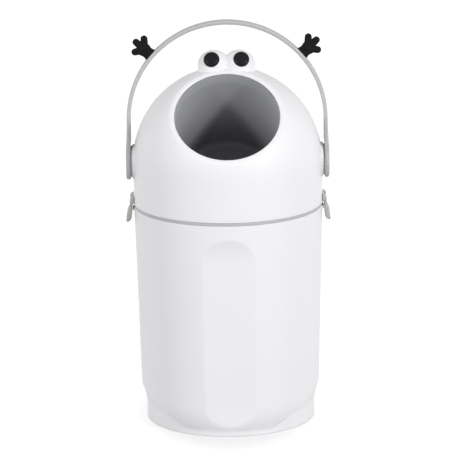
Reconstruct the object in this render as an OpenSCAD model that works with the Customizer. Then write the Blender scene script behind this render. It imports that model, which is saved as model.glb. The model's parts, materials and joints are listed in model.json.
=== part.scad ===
// Nappy bin: a tall bucket with a lift-off domed hood.
// A ball-shaped drum turns inside the hood on two stub axles. At rest its cup looks out
// through the slanted mouth, and the carrying handle stands upright. Swinging the handle
// forward and down turns the cup over, so that it empties into the bag and the plain back
// of the ball closes the mouth. Two side clips lock the hood to the bucket.
//
// Millimetres, +Z up, front at -Y, origin on the floor under the middle of the bin.

/* [Bucket] */
// Outer diameter at the seam and of the hood
body_d = 270; // [264:1:276]
// Height of the bucket's rim above the floor
base_h = 312; // [300:1:330]
// Diameter of the bucket where the foot begins
waist_d = 256; // [252:1:260]
// Height at which the foot begins, at the sides
waist_h = 56; // [48:1:64]
// Diameter of the foot
foot_d = 244; // [240:0.2:248]
// Wall of the bucket
base_wall = 3; // [2.5:0.1:4]
// Width of the flat panel on the front and on the back
panel_w = 78; // [60:1:90]
// Height of the grey ring between bucket and hood
ring_h = 4.4; // [4:0.2:8]

/* [Hood] */
// Height of the drum's axis above the seam ring
pivot_above_ring = 60.1; // [58:0.1:64]
// Wall of the hood
hood_wall = 3; // [2.5:0.1:3.4]
// Diameter of the mouth
mouth_d = 149.4; // [140:0.2:152]
// Slant of the mouth: its axis above the horizontal
mouth_tilt = 48; // [44:1:52]
// Distance of the mouth's flat collar from the centre of the ball
mouth_reach = 107.6; // [106:0.2:109]

/* [Drum] */
// Diameter of the ball
drum_d = 255; // [253:0.5:256]
// Wall of the ball and of its cup
drum_wall = 2.5; // [2:0.1:3]
// Inside diameter of the cup
cup_d = 146; // [136:1:148]
// Distance of the cup's floor behind the centre of the ball
cup_back = 61; // [50:1:66]
// Diameter of the stub axles
axle_d = 24; // [20:1:26]

/* [Handle] */
// Height of the handle's top above the drum's axis
handle_reach = 204; // [202:1:212]
// Outer width over the handle's two legs
handle_w = 286.4; // [286:0.2:290]
// Thickness of the handle's strap
strap_t = 5.8; // [5:0.1:5.8]
// Width of the handle's strap, front to back
strap_w = 14; // [12:0.5:16]
// Diameter of the handle's round ends
hub_d = 52; // [46:1:54]

/* [Eyes and hands] */
// Radius of each eye's bump
eye_r = 20.6; // [19:0.2:22]
// Distance between the middles of the bumps
eye_gap = 40.6; // [38:0.2:44]
// Diameter of each pupil
pupil_d = 21.8; // [18:0.2:23]
// How far round the arch the hands stand, from its top
hand_angle = 48; // [44:1:54]

/* [Clips] */
// Width of each side clip
clip_w = 27; // [22:1:30]
// Height of the clip's pin above the seam ring
clip_pin_rise = 9.1; // [8:0.1:12]

/* [Hidden] */
$fn = 96;
EPS = 0.01;
BIG = 400;
body_r = body_d / 2;
drum_r = drum_d / 2;
hood_in_r = body_r - hood_wall;
mouth_r = mouth_d / 2;
cup_r = cup_d / 2;
cup_out_r = cup_r + drum_wall;
axle_r = axle_d / 2;
GAP = 0.3;           // between parts that move past each other
RUNNING = 0.06;      // radial clearance of a shaft in its bush
SEATED = 0.02;       // between pieces of one assembly that sit in each other

// heights
ring_z = base_h;
collar_h = 12;
ring_top = base_h + ring_h;
hood_z = ring_top + GAP;
pivot_z = ring_top + pivot_above_ring;
clip_z = ring_top + clip_pin_rise;

// bucket
base_top_r = body_r - 0.4;
waist_r = waist_d / 2;
foot_r = foot_d / 2;
foot_top_z = 25;
foot_fillet = 5;
front_curl_r = 30;
front_curl_z = 20.5;
arch_r = 160;
arch_top_z = 52;
panel_sag = base_top_r - sqrt(pow(base_top_r, 2) - pow(panel_w / 2, 2));
panel_top_z = base_h - 19;
panel_slope_h = 36;
panel_low_z = 21;
floor_z = 10;
floor_t = 3;
foot_ring_w = 9;
foot_recess = 5;
taper = (base_top_r - waist_r) / (base_h - waist_h);

// catches under the ring, which the clips hook under
catch_w = 20;
catch_out = body_r + 1.6;
catch_z = base_h - 5.5;
catch_h = 4.5;

// hood
collar_depth = 2.6;
collar_r = 84;
mouth_flat = 4.6;
edge_slope = 0.35;
boss_r = 20;
boss_in_x = 129.6;
bush_r = 15;
bush_flange_r = 22.5;
flange_seat = 2.4;
bush_out_x = body_r + 3;
gasket_w = 1.6;
gasket_h = 1.7;

// drum
ball_in_r = drum_r - drum_wall;
axle_boss_r = 18;
axle_boss_x = 112;
axle_flange_t = 3.5;
key_w = 30;
key_t = 7;
key_len = 9;
drive = 14;
drive_h = 2.2;
drum_screw_r = 100;
drum_screw_angle = 30;
screw_boss_r = 6;
screw_boss_h = sqrt(pow(drum_r - 0.6, 2) - pow(drum_screw_r + screw_boss_r, 2));

// handle
handle_out = handle_w / 2;
arch_z = handle_reach - handle_out;
leg_in_x = handle_out - strap_t;
hub_in_x = bush_out_x + 0.2;
hub_out_x = handle_out + 1.8;
cap_r = 14;
cap_t = 1.6;
screw_head_t = 1.6;
peg_w = 4;
peg_len = 11.4;
peg_h = 3.2;

// eyes
eye_y = 8;
eye_rise = 138.4;
saddle_r = 13.2;
eye_wall = 2.5;
pupil_up = 34;
pupil_out = 5.4;
pupil_crown_r = 12.5;
pupil_crown_at = 11.4;
peg_r = 3;
peg_z = drum_r + 1.8;

// clips
clip_x = body_r + 3.6;
clip_pin_r = 1.5;
clip_barrel_r = 2.8;
bracket_ear = 3.4;

// ---------------------------------------------------------------- places

module at_pivot() { translate([0, 0, pivot_z]) children(); }

// +Z runs out of the mouth, and the origin is the centre of the ball
module at_mouth() { at_pivot() rotate([90 - mouth_tilt, 0, 0]) children(); }

// -1 puts a right-hand piece on the left
module on_side(side) { if (side < 0) mirror([1, 0, 0]) children(); else children(); }

module rod_x(x0, x1, r) { translate([x0, 0, 0]) rotate([0, 90, 0]) cylinder(h = x1 - x0, r = r); }

module rod_y(w, r) { rotate([90, 0, 0]) cylinder(h = w, r = r, center = true); }

// a flat outline in X and Z, given a width along Y
module plate_y(w) { rotate([90, 0, 0]) linear_extrude(w, center = true) children(); }

// ---------------------------------------------------------------- bucket

function wall_r(z) = waist_r + taper * (z - waist_h);

// Foot ring, with the slope that leads up to the waist
module foot_form(inset) {
  rotate_extrude()
    difference() {
      polygon([[0, 0], [foot_r - inset, 0], [foot_r - inset, foot_top_z],
               [waist_r - inset - 0.1, waist_h], [0, waist_h]]);
      translate([foot_r - inset - foot_fillet, 0])
        difference() {
          translate([0, -1]) square([foot_fillet + 1, foot_fillet + 1]);
          translate([0, foot_fillet]) circle(foot_fillet);
        }
    }
}

// Tapered body, whose lower edge curls under towards the floor
module body_form(inset, top) {
  r = wall_r(front_curl_z) - inset;
  curl = front_curl_r - inset;
  rotate_extrude() {
    intersection() {
      translate([r - curl, front_curl_z]) circle(curl);
      square([body_r, front_curl_z]);
    }
    square([r - curl + 1, front_curl_z]);
    polygon([[0, front_curl_z], [r, front_curl_z], [wall_r(top) - inset, top], [0, top]]);
  }
}

// Arch through which the foot shows at each side
module side_arch(inset) {
  translate([-BIG / 2, 0, arch_top_z - arch_r])
    rotate([0, 90, 0]) cylinder(h = BIG, r = arch_r + inset, $fn = 192);
}

// Cutter for the flat panel, which curves outwards at its top and its foot
module panel_cut(inset) {
  flat = base_top_r - panel_sag - inset;
  drop = taper * (panel_top_z - panel_low_z);
  rise = panel_sag + 1;
  over = 1 + 1 / (2 * panel_sag);
  // a parabola from the flat to just past the wall, in six steps
  function bow(k) = pow(k / 6 * over, 2) * panel_sag;
  rotate([90, 0, 90])
    linear_extrude(BIG, center = true)
      polygon(concat(
        [for (k = [6:-1:0]) [-flat - bow(k), panel_top_z - panel_slope_h * (1 - k / 6 * over)]],
        [for (k = [0:6]) [-flat + drop - bow(k), panel_low_z + panel_slope_h * (1 - k / 6 * over)]],
        [[-BIG, panel_low_z - rise], [-BIG, panel_top_z + rise]]));
}

// Outside of the bucket, or its inside when given an inset
module base_form(inset, top) {
  difference() {
    union() {
      foot_form(inset);
      difference() {
        body_form(inset, top);
        side_arch(inset);
      }
    }
    panel_cut(inset);
    mirror([0, 1, 0]) panel_cut(inset);
  }
}

module base_shell() {
  color("#f0f0f1")
  difference() {
    union() {
      difference() {
        base_form(0, base_h);
        difference() {
          base_form(base_wall, base_h + 10);
          translate([0, 0, -1]) cylinder(h = floor_z + 1, r = body_r);
        }
      }
      for (side = [-1, 1]) on_side(side) catch_lug();
    }
    // hollow under the floor, so that the bin stands on its foot ring
    translate([0, 0, -1]) cylinder(h = foot_recess + 1, r = foot_r - foot_ring_w - 8);
  }
}

// Ledge that a clip hooks under
module catch_lug() {
  plate_y(catch_w)
    polygon([[body_r - 2.4, catch_z], [catch_out, catch_z], [catch_out, catch_z + catch_h / 2],
             [body_r - 0.6, catch_z + catch_h], [body_r - 2.4, catch_z + catch_h]]);
}

// Grey ring on the rim: its collar holds the bag's edge inside the bucket and centres the hood
module bag_ring() {
  spigot = base_top_r - base_wall - 0.2 - SEATED;
  collar = spigot - taper * collar_h;
  color("#b9b9bb")
  rotate_extrude()
    polygon([[collar - 2.6, ring_z - collar_h], [collar - 0.8, ring_z - collar_h],
             [collar, ring_z - collar_h + 2], [collar, ring_z], [base_top_r, ring_z],
             [base_top_r, ring_top], [spigot, ring_top], [spigot, ring_top + 5],
             [spigot - 1, ring_top + 6], [collar - 2.6, ring_top + 6]]);
}

// ---------------------------------------------------------------- hood

// Straight-sided dome with a ball-shaped top, from z0 up, about the centre of the ball
module dome(r, z0) {
  rotate_extrude() {
    intersection() {
      circle(r);
      square(r);
    }
    translate([0, z0]) square([r, -z0 + EPS]);
  }
}

// What the mouth takes away: everything past its collar, and the hole itself
module mouth_cut() {
  translate([0, 0, mouth_reach]) cylinder(h = BIG / 4, r = body_r);
  translate([0, 0, mouth_reach - 30]) cylinder(h = 60, r = mouth_r);
  rotate_extrude()
    polygon([[mouth_r + mouth_flat, mouth_reach], [mouth_r + mouth_flat + 14, mouth_reach - 14 * edge_slope],
             [mouth_r + mouth_flat + 14, mouth_reach + 5], [mouth_r + mouth_flat, mouth_reach + 5]]);
}

module mouth_collar() {
  intersection() {
    translate([0, 0, mouth_reach - collar_depth]) cylinder(h = collar_depth, r = collar_r);
    sphere(body_r - EPS);
  }
}

module hood_shell() {
  color("#f2f2f3")
  difference() {
    union() {
      at_pivot()
        difference() {
          dome(body_r, hood_z - pivot_z);
          dome(hood_in_r, hood_z - pivot_z - 1);
        }
      at_mouth() mouth_collar();
      // inner bosses that carry the bushes
      at_pivot()
        for (side = [-1, 1]) on_side(side)
          rod_x(boss_in_x, body_r - 1, boss_r);
    }
    at_mouth() mouth_cut();
    at_pivot()
      for (side = [-1, 1]) on_side(side) {
        rod_x(boss_in_x - 5, body_r + 5, bush_r);
        rod_x(body_r - flange_seat, body_r + 5, bush_flange_r);
      }
    // groove for the rim gasket
    translate([0, 0, hood_z - EPS])
      difference() {
        cylinder(h = gasket_h + EPS, r = body_r - 0.8);
        translate([0, 0, -1]) cylinder(h = gasket_h + 3, r = body_r - 0.8 - gasket_w);
      }
    eye_pegs(peg_r + SEATED);
    for (side = [-1, 1]) on_side(side) bracket_tongue(SEATED);
  }
}

module rim_gasket() {
  color("#6c6c6e")
  translate([0, 0, hood_z - 0.1])
    difference() {
      cylinder(h = gasket_h, r = body_r - 0.8 - SEATED);
      translate([0, 0, -1]) cylinder(h = gasket_h + 2, r = body_r - 0.8 - gasket_w + SEATED);
    }
}

// Rubber lip that closes the gap between the hood and the ball, round the mouth
module mouth_seal() {
  color("#8c8c90")
  at_mouth()
    rotate_extrude()
      intersection() {
        difference() {
          circle(hood_in_r - SEATED);
          circle(drum_r + GAP);
        }
        translate([mouth_r + 0.6, 70])
          square([collar_r + 4 - mouth_r - 0.6, mouth_reach - collar_depth - SEATED - 70]);
      }
}

// Bearing for one stub axle, with the round flange that shows between handle and hood
module axle_bush(side) {
  color("#8e8e8c")
  at_pivot() on_side(side)
    difference() {
      union() {
        rod_x(boss_in_x - 0.4, body_r, bush_r - SEATED);
        rod_x(body_r - flange_seat + SEATED, bush_out_x, bush_flange_r - SEATED);
      }
      rod_x(boss_in_x - 5, bush_out_x + 5, axle_r + RUNNING);
    }
}

// ---------------------------------------------------------------- eyes

module eye_places() {
  for (side = [-1, 1]) translate([side * eye_gap / 2, eye_y, eye_rise]) children();
}

module eye_bumps(thin) {
  eye_places() {
    sphere(eye_r - thin);
    translate([0, 0, -24]) cylinder(h = 24, r = eye_r - thin - 0.05);
  }
}

// Waisted bridge between the bumps, turned about the X axis
module eye_saddle() {
  translate([0, eye_y, eye_rise]) rotate([0, 90, 0])
    rotate_extrude()
      polygon([[0, -14], [eye_r - 1.4, -14], [eye_r - 1.6, -9.5], [saddle_r + 3.8, -5],
               [saddle_r + 0.6, -1.2], [saddle_r + 0.6, 1.2], [saddle_r + 3.8, 5],
               [eye_r - 1.6, 9.5], [eye_r - 1.4, 14], [0, 14]]);
}

// Points +Z along the way a pupil looks
module pupil_place(side) {
  translate([side * eye_gap / 2, eye_y, eye_rise])
    rotate([0, 0, side * pupil_out]) rotate([90 - pupil_up, 0, 0]) children();
}

module eye_pegs(r) {
  at_pivot()
    for (side = [-1, 1]) translate([side * eye_gap / 2, eye_y, peg_z]) cylinder(h = 30, r = r);
}

module eye_housing() {
  color("#f2f2f3") {
    difference() {
      at_pivot()
        union() {
          eye_bumps(0);
          eye_saddle();
        }
      at_pivot() sphere(body_r + SEATED);
      at_pivot() eye_bumps(eye_wall);
      for (side = [-1, 1])
        at_pivot() pupil_place(side) cylinder(h = BIG, r = pupil_d / 2);
    }
    // pegs that snap through the hood
    intersection() {
      eye_pegs(peg_r);
      at_pivot() eye_places() sphere(eye_r - eye_wall / 2);
    }
  }
}

// Domed button that fills the hole in its bump
module eye_pupil(side) {
  color("#1c1c1e")
  at_pivot() pupil_place(side)
    intersection() {
      difference() {
        translate([0, 0, pupil_crown_at]) sphere(pupil_crown_r);
        sphere(eye_r - eye_wall - 0.5);
      }
      translate([0, 0, pupil_crown_at - 1]) cylinder(h = BIG, r = pupil_d / 2 - SEATED);
    }
}

// ---------------------------------------------------------------- clips

module bracket_tongue(loose) {
  translate([body_r - hood_wall + 0.4, -clip_w / 2 + 5 - loose, clip_z + 4.4 - loose])
    cube([hood_wall + 0.1, clip_w - 10 + 2 * loose, 2.6 + 2 * loose]);
}

// Bracket on the hood: two ears with the clip's pin between them, bridged over the top
module clip_bracket(side) {
  ear_y = (clip_w + bracket_ear + 2 * GAP) / 2;
  color("#c4c4c2")
  on_side(side)
    difference() {
      union() {
        difference() {
          union() {
            for (end = [-1, 1])
              translate([0, end * ear_y, 0]) {
                translate([clip_x, 0, clip_z]) rod_y(bracket_ear, clip_barrel_r);
                plate_y(bracket_ear)
                  polygon([[body_r - 3, clip_z - 4], [clip_x + 0.6, clip_z - 2.2],
                           [clip_x + 1.4, clip_z + 1.6], [body_r + 1, clip_z + 8],
                           [body_r - 3, clip_z + 8]]);
              }
            plate_y(2 * ear_y)
              polygon([[body_r - 3, clip_z + 3.4], [body_r + 2.6, clip_z + 3.4],
                       [body_r + 0.8, clip_z + 7.8], [body_r - 3, clip_z + 7.8]]);
          }
          translate([0, 0, hood_z - 1]) cylinder(h = pivot_z - hood_z, r = body_r + SEATED, $fn = 360);
        }
        bracket_tongue(0);
      }
      translate([clip_x, 0, clip_z]) rod_y(BIG / 4, clip_pin_r + SEATED);
    }
}

module clip_pin(side) {
  color("#a9acae")
  on_side(side)
    translate([clip_x, 0, clip_z]) rod_y(clip_w + 2 * bracket_ear + 2 * GAP, clip_pin_r);
}

// Clip at rest just off its catch: pressed in, its hook goes under the ledge
module clip(side) {
  hook_x = catch_out + 0.7;
  color("#c4c4c2")
  on_side(side)
    difference() {
      union() {
        translate([clip_x, 0, clip_z]) rod_y(clip_w, clip_barrel_r);
        plate_y(clip_w)
          polygon([[clip_x + 2.5, clip_z - 0.6], [clip_x + 2.9, clip_z - 13],
                   [clip_x + 5.9, clip_z - 17], [clip_x + 8.3, clip_z - 30],
                   [clip_x + 8.6, clip_z - 35], [clip_x + 6.4, clip_z - 36.5],
                   [clip_x + 3.3, clip_z - 32.5], [hook_x + 0.6, clip_z - 26],
                   [hook_x, clip_z - 20], [clip_x + 0.4, catch_z - 0.7],
                   [clip_x + 0.2, clip_z - 1.9]]);
      }
      translate([clip_x, 0, clip_z]) rod_y(BIG / 4, clip_pin_r + RUNNING);
    }
}

// ---------------------------------------------------------------- drum

// Quarter of the ball's wall, as an outline to revolve about the mouth's axis
module ball_outline() {
  intersection() {
    difference() {
      circle(drum_r);
      circle(ball_in_r);
    }
    square(drum_r + 1);
  }
}

// Half of each axle boss, on the side of the joint where the half belongs
module axle_bosses(up) {
  for (side = [-1, 1]) on_side(side)
    intersection() {
      rod_x(axle_boss_x, drum_r - 1.9, axle_boss_r);
      translate([axle_boss_x - 1, -axle_boss_r - 1, up > 0 ? 0 : -axle_boss_r - 1])
        cube([drum_r, 2 * axle_boss_r + 2, axle_boss_r + 1]);
    }
}

module drum_holes() {
  for (side = [-1, 1]) on_side(side) {
    rod_x(axle_boss_x - 5, drum_r + 5, axle_r + SEATED);
    axle_key(SEATED);
  }
}

module axle_key(loose) {
  translate([axle_boss_x - 1, -key_w / 2 - loose, -key_t / 2 - loose])
    cube([key_len + 1 + loose, key_w + 2 * loose, key_t + 2 * loose]);
}

module drum_screw_places() {
  for (side = [-1, 1], up = [-1, 1])
    translate([side * drum_screw_r * cos(drum_screw_angle), up * drum_screw_r * sin(drum_screw_angle), 0])
      children();
}

// Front half of the ball: a zone with a round opening that the cup fills
module drum_front() {
  color("#8a8b8e")
  at_mouth()
    difference() {
      union() {
        rotate_extrude()
          difference() {
            ball_outline();
            square([cup_out_r + SEATED, BIG]);
          }
        axle_bosses(1);
        drum_screw_places() cylinder(h = screw_boss_h, r = screw_boss_r);
      }
      drum_holes();
      drum_screw_places() translate([0, 0, -1]) cylinder(h = 19, r = 2 + SEATED);
    }
}

// Wall of the cup that holds the nappy: its rim lies flush in the opening of the ball's front half
module cup_wall() {
  color("#8f9093")
  at_mouth()
    rotate_extrude()
      intersection() {
        translate([cup_r, -cup_back - drum_wall]) square([drum_wall, drum_r + cup_back]);
        circle(drum_r);
      }
}

// Floor plate of the cup, pressed into the foot of its wall
module cup_floor() {
  color("#8f9093")
  at_mouth() translate([0, 0, -cup_back - drum_wall]) cylinder(h = drum_wall, r = cup_r - SEATED);
}

// Back half of the ball, whose plain outside closes the mouth when the drum is turned
module drum_back() {
  color("#8a8b8e")
  at_mouth()
    difference() {
      union() {
        mirror([0, 0, 1]) rotate_extrude() ball_outline();
        axle_bosses(-1);
        drum_screw_places() translate([0, 0, -screw_boss_h]) cylinder(h = screw_boss_h, r = screw_boss_r);
      }
      drum_holes();
      drum_screw_places() translate([0, 0, -BIG / 2]) cylinder(h = BIG, r = 2 + SEATED);
      drum_screw_places() translate([0, 0, -BIG - 40]) cylinder(h = BIG, r = 4.4);
    }
}

module drum_screws() {
  color("#b4b6b8")
  at_mouth()
    drum_screw_places() {
      translate([0, 0, -40]) cylinder(h = 57, r = 2);
      translate([0, 0, -42.5]) cylinder(h = 2.5, r = 4);
    }
}

// Stub axle: keyed between the halves of the ball, with a square drive for the handle
module axle(side) {
  color("#9a9a98")
  at_mouth() on_side(side)
    difference() {
      union() {
        rod_x(axle_boss_x - axle_flange_t, axle_boss_x - SEATED, axle_boss_r);
        rod_x(axle_boss_x - axle_flange_t, hub_in_x, axle_r);
        axle_key(0);
        translate([hub_in_x - 1, -drive / 2, -drive / 2]) cube([1 + drive_h, drive, drive]);
      }
      rod_x(hub_in_x - 16, hub_out_x, 2.5 + SEATED);
    }
}

// ---------------------------------------------------------------- handle

// Section of the strap: a wide outer band with a narrower rib inside it
module strap_section() {
  w = strap_w / 2;
  band = strap_t * 0.62;
  polygon([[strap_t, -w + 1], [strap_t, w - 1], [strap_t - 1, w], [strap_t - band, w],
           [strap_t - band, w - 2], [0.6, w - 2], [0, w - 2.6], [0, -w + 2.6], [0.6, -w + 2],
           [strap_t - band, -w + 2], [strap_t - band, -w], [strap_t - 1, -w]]);
}

// Leg plate, seen from the side: flanks that sweep from the hub up into the strap
module leg_outline() {
  r = hub_d / 2;
  edge = strap_w / 2;
  // radius of the flank that meets both the round end and the strap's edge
  flank = (pow(edge, 2) + pow(arch_z, 2) - pow(r, 2)) / (2 * (r - edge));
  turn = atan2(arch_z, edge + flank);
  side_points = [for (k = [0:12]) [edge + flank * (1 - cos(turn * k / 12)),
                                   arch_z - flank * sin(turn * k / 12)]];
  polygon(concat(side_points, [[r * 0.8, 0], [-r * 0.8, 0]],
                 [for (k = [12:-1:0]) [-side_points[k][0], side_points[k][1]]]));
}

module hand_peg(loose) {
  translate([0, 0, arch_z]) rotate([0, hand_angle, 0])
    translate([-peg_w / 2 + 1.4 - loose, -peg_len / 2 - loose, handle_out - 1])
      cube([peg_w + 2 * loose, peg_len + 2 * loose, peg_h + 1 + loose]);
}

module handle() {
  color("#b8b8b6")
  at_pivot()
    difference() {
      union() {
        translate([0, 0, arch_z]) rotate([90, 0, 0])
          rotate_extrude(angle = 180, $fn = 144) translate([leg_in_x, 0]) strap_section();
        for (side = [-1, 1]) on_side(side) {
          translate([leg_in_x, 0, 0]) linear_extrude(arch_z + EPS) strap_section();
          translate([leg_in_x, 0, 0]) rotate([90, 0, 90]) linear_extrude(strap_t) leg_outline();
          rod_x(hub_in_x, hub_out_x, hub_d / 2);
          hand_peg(0);
        }
      }
      for (side = [-1, 1]) on_side(side) {
        rod_x(hub_in_x - 10, hub_in_x, hub_d);
        rotate([90 - mouth_tilt, 0, 0])
          translate([hub_in_x - 1, -drive / 2 - SEATED, -drive / 2 - SEATED])
            cube([1 + drive_h + SEATED, drive + 2 * SEATED, drive + 2 * SEATED]);
        rod_x(hub_in_x, hub_out_x + 1, 2.6);
        rod_x(hub_in_x + drive_h + 1.2, hub_out_x + 1, 6);
        rod_x(hub_out_x - cap_t, hub_out_x + 1, cap_r);
      }
    }
}

module handle_screw(side) {
  head_x = hub_in_x + drive_h + 1.2 + SEATED;
  color("#b4b6b8")
  at_pivot() on_side(side) {
    rod_x(hub_in_x - 14, head_x + EPS, 2.5);
    rod_x(head_x, head_x + screw_head_t, 5);
  }
}

module hub_cap(side) {
  color("#a6a6a4")
  at_pivot() on_side(side)
    rod_x(hub_out_x - cap_t + SEATED, hub_out_x + 0.4, cap_r - SEATED);
}

// ---------------------------------------------------------------- hands

module finger(from, to) {
  hull() {
    translate(from) sphere(5.6, $fn = 24);
    translate(to) sphere(5, $fn = 24);
  }
}

// A small open hand: +Z runs from the wrist to the fingers, +X towards the top of the arch
module open_hand() {
  // cuff
  hull()
    for (x = [-4.2, 4.2]) {
      translate([x, 0, -2]) cylinder(h = 2.6, r = 4.6, $fn = 24);
      translate([x * 0.8, 0, 5]) cylinder(h = 1, r = 4.4, $fn = 24);
    }
  // palm
  hull()
    for (x = [-4, 4], z = [6, 12]) translate([x, 0, z]) sphere(5.6, $fn = 24);
  finger([4, 0, 12], [12.2, 0, 22.6]);
  finger([0, 0, 12], [1.2, 0, 27.4]);
  finger([-4, 0, 12], [-11, 0, 19.6]);
}

module hand(side) {
  color("#232325")
  at_pivot() on_side(side)
    difference() {
      translate([0, 0, arch_z]) rotate([0, hand_angle, 0])
        translate([0, 0, handle_out]) mirror([1, 0, 0]) open_hand();
      translate([0, 0, arch_z]) rod_y(3 * strap_w, handle_out + SEATED, $fn = 360);
      hand_peg(SEATED);
    }
}

base_shell();
bag_ring();
hood_shell();
rim_gasket();
mouth_seal();
axle_bush(-1);  // axle_bush_left
axle_bush(1);  // axle_bush_right
eye_housing();
eye_pupil(-1);  // eye_pupil_left
eye_pupil(1);  // eye_pupil_right
clip_bracket(-1);  // clip_bracket_left
clip_bracket(1);  // clip_bracket_right
clip_pin(-1);  // clip_pin_left
clip_pin(1);  // clip_pin_right
clip(-1);  // clip_left
clip(1);  // clip_right
drum_front();
cup_wall();
cup_floor();
drum_back();
drum_screws();
axle(-1);  // axle_left
axle(1);  // axle_right
handle();
handle_screw(-1);  // handle_screw_left
handle_screw(1);  // handle_screw_right
hub_cap(-1);  // hub_cap_left
hub_cap(1);  // hub_cap_right
hand(-1);  // hand_left
hand(1);  // hand_right
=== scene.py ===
"""Looks of a nappy bin: smooth moulded pieces, finishes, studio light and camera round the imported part.

All lengths in this file are millimetres until a mesh is made, where they become metres.
"""
import json
import logging
import math
from collections.abc import Sequence
from dataclasses import dataclass, field
from enum import Enum

import bmesh
import bpy
import numpy as np
from mathutils import Matrix, Vector

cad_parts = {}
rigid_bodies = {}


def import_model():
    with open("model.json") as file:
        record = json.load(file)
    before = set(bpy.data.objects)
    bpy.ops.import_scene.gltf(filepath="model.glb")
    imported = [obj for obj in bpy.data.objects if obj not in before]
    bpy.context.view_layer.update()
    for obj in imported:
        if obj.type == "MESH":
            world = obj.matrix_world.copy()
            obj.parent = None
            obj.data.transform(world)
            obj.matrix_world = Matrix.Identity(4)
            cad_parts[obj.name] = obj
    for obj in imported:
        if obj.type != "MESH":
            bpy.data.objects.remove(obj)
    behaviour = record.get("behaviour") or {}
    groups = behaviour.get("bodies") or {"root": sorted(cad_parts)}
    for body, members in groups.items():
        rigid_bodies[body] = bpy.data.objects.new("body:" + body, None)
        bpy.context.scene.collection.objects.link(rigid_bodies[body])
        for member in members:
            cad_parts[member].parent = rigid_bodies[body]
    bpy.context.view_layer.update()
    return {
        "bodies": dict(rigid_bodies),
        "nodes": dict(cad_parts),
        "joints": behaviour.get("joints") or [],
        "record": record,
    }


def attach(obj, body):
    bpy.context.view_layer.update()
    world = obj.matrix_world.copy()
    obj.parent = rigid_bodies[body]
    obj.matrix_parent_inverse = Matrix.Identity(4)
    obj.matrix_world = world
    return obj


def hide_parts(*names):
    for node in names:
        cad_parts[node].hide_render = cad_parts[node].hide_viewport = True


LOG = logging.getLogger("nappy_bin")
Array = np.ndarray
Piece = bpy.types.Object
Socket = bpy.types.NodeSocket
Triple = tuple[float, float, float]
MM = 0.001

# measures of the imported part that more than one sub-assembly needs
PIVOT_Z = 376.5
BODY_R = 135.0
HOOD_IN_R = 132.0
HOOD_Z = 316.7
BASE_TOP_R = 134.6
BASE_H = 312.0
RING_TOP = 316.4
WAIST_R = 128.0
WAIST_H = 56.0
MOUTH_TILT = math.radians(48.0)
MOUTH_R = 74.7
MOUTH_REACH = 107.6
CUP_R = 73.0
CUP_BACK = 61.0
HANDLE_OUT = 143.2
ARCH_Z = 60.8

# the moulded surface: noise of the marks, thresholds of marks and rubbed edges, depth of the bump in metres
MARK_SCALE = 140.0
MARK_LIMITS = (0.6, 0.75)
RUB_LIMITS = (0.53, 0.62)
BUMP_DEPTH = 0.0006

# painted shade in the cup: where it starts above the pivot, and its level at the floor as a share of the
# colour
SHADE_START = 60.0
SHADE_LEVEL = 0.2


class Side(Enum):
    """Which side of the bin a piece is on, with its sign along X."""

    LEFT = -1
    RIGHT = 1

    @property
    def word(self) -> str:
        """The side's name as the nodes spell it."""
        return self.name.lower()


# ---------------------------------------------------------------- shapes as arrays


def smooth_max(a: Array, b: Array, blend: float) -> Array:
    """Larger of two fields, with the corner between them rounded over a band of the blend's width.

    Args:
        a: first field.
        b: second field.
        blend: width of the rounded band, in the fields' own unit.

    Returns:
        The blended field: linear mix of the two inside the band, plus a parabola that lifts its middle.
    """
    share = np.clip(0.5 + 0.5 * (a - b) / blend, 0.0, 1.0)
    return b + (a - b) * share + blend * share * (1.0 - share)


def smooth_min(a: Array, b: Array, blend: float) -> Array:
    """Smaller of two fields, rounded in the same way as smooth_max."""
    return -smooth_max(-a, -b, blend)


def rounded(corners: Sequence[Triple], closed: bool, steps: int = 6) -> Array:
    """Outline with its corners turned into arcs.

    Each corner is cut back along both of its sides by radius times the cotangent of half its inner
    angle, and the cut is bridged by the arc that touches both sides.

    Args:
        corners: x, y and fillet radius of each corner, in order.
        closed: whether the last corner joins the first.
        steps: arc segments for each rounded corner.

    Returns:
        Points of the outline, one row each.
    """
    pts = np.array([c[:2] for c in corners], float)
    out: list[Array] = []
    for i, (x, y, radius) in enumerate(corners):
        here = np.array([x, y])
        if radius <= 0 or (not closed and i in (0, len(corners) - 1)):
            out.append(here[None])
            continue
        back = pts[i - 1] - here
        ahead = pts[(i + 1) % len(pts)] - here
        back_len, ahead_len = np.linalg.norm(back), np.linalg.norm(ahead)
        back, ahead = back / back_len, ahead / ahead_len
        half = 0.5 * math.acos(float(np.clip(back @ ahead, -1.0, 1.0)))
        cut = min(radius / math.tan(half), 0.49 * back_len, 0.49 * ahead_len)
        radius = cut * math.tan(half)
        middle = here + (back + ahead) / np.linalg.norm(back + ahead) * radius / math.sin(half)
        start, end = here + back * cut - middle, here + ahead * cut - middle
        first = math.atan2(start[1], start[0])
        turn = (math.atan2(end[1], end[0]) - first + math.pi) % (2 * math.pi) - math.pi
        angle = first + turn * np.linspace(0.0, 1.0, steps + 1)
        out.append(middle + radius * np.c_[np.cos(angle), np.sin(angle)])
    return np.concatenate(out)


def resampled(outline: Array, step: float) -> Array:
    """An open outline with extra points on its long sides, none further apart than step.

    Args:
        outline: points of the outline, one row each.
        step: longest side that is left.

    Returns:
        The outline with its extra points.
    """
    parts = [outline[:1]]
    for a, b in zip(outline[:-1], outline[1:]):
        count = max(1, math.ceil(float(np.linalg.norm(b - a)) / step))
        parts.append(a + (b - a) * (np.arange(1, count + 1) / count)[:, None])
    return np.concatenate(parts)


@dataclass(frozen=True)
class Axes:
    """A local frame: its origin, and the directions of its own x, y and z in the row frame."""

    origin: Triple
    x: Triple
    y: Triple
    z: Triple

    def place(self, points: Array) -> Array:
        """Points given in this frame, moved to the row frame."""
        return np.array(self.origin) + points @ np.array([self.x, self.y, self.z])


UPRIGHT = Axes((0, 0, 0), (1, 0, 0), (0, 1, 0), (0, 0, 1))
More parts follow.
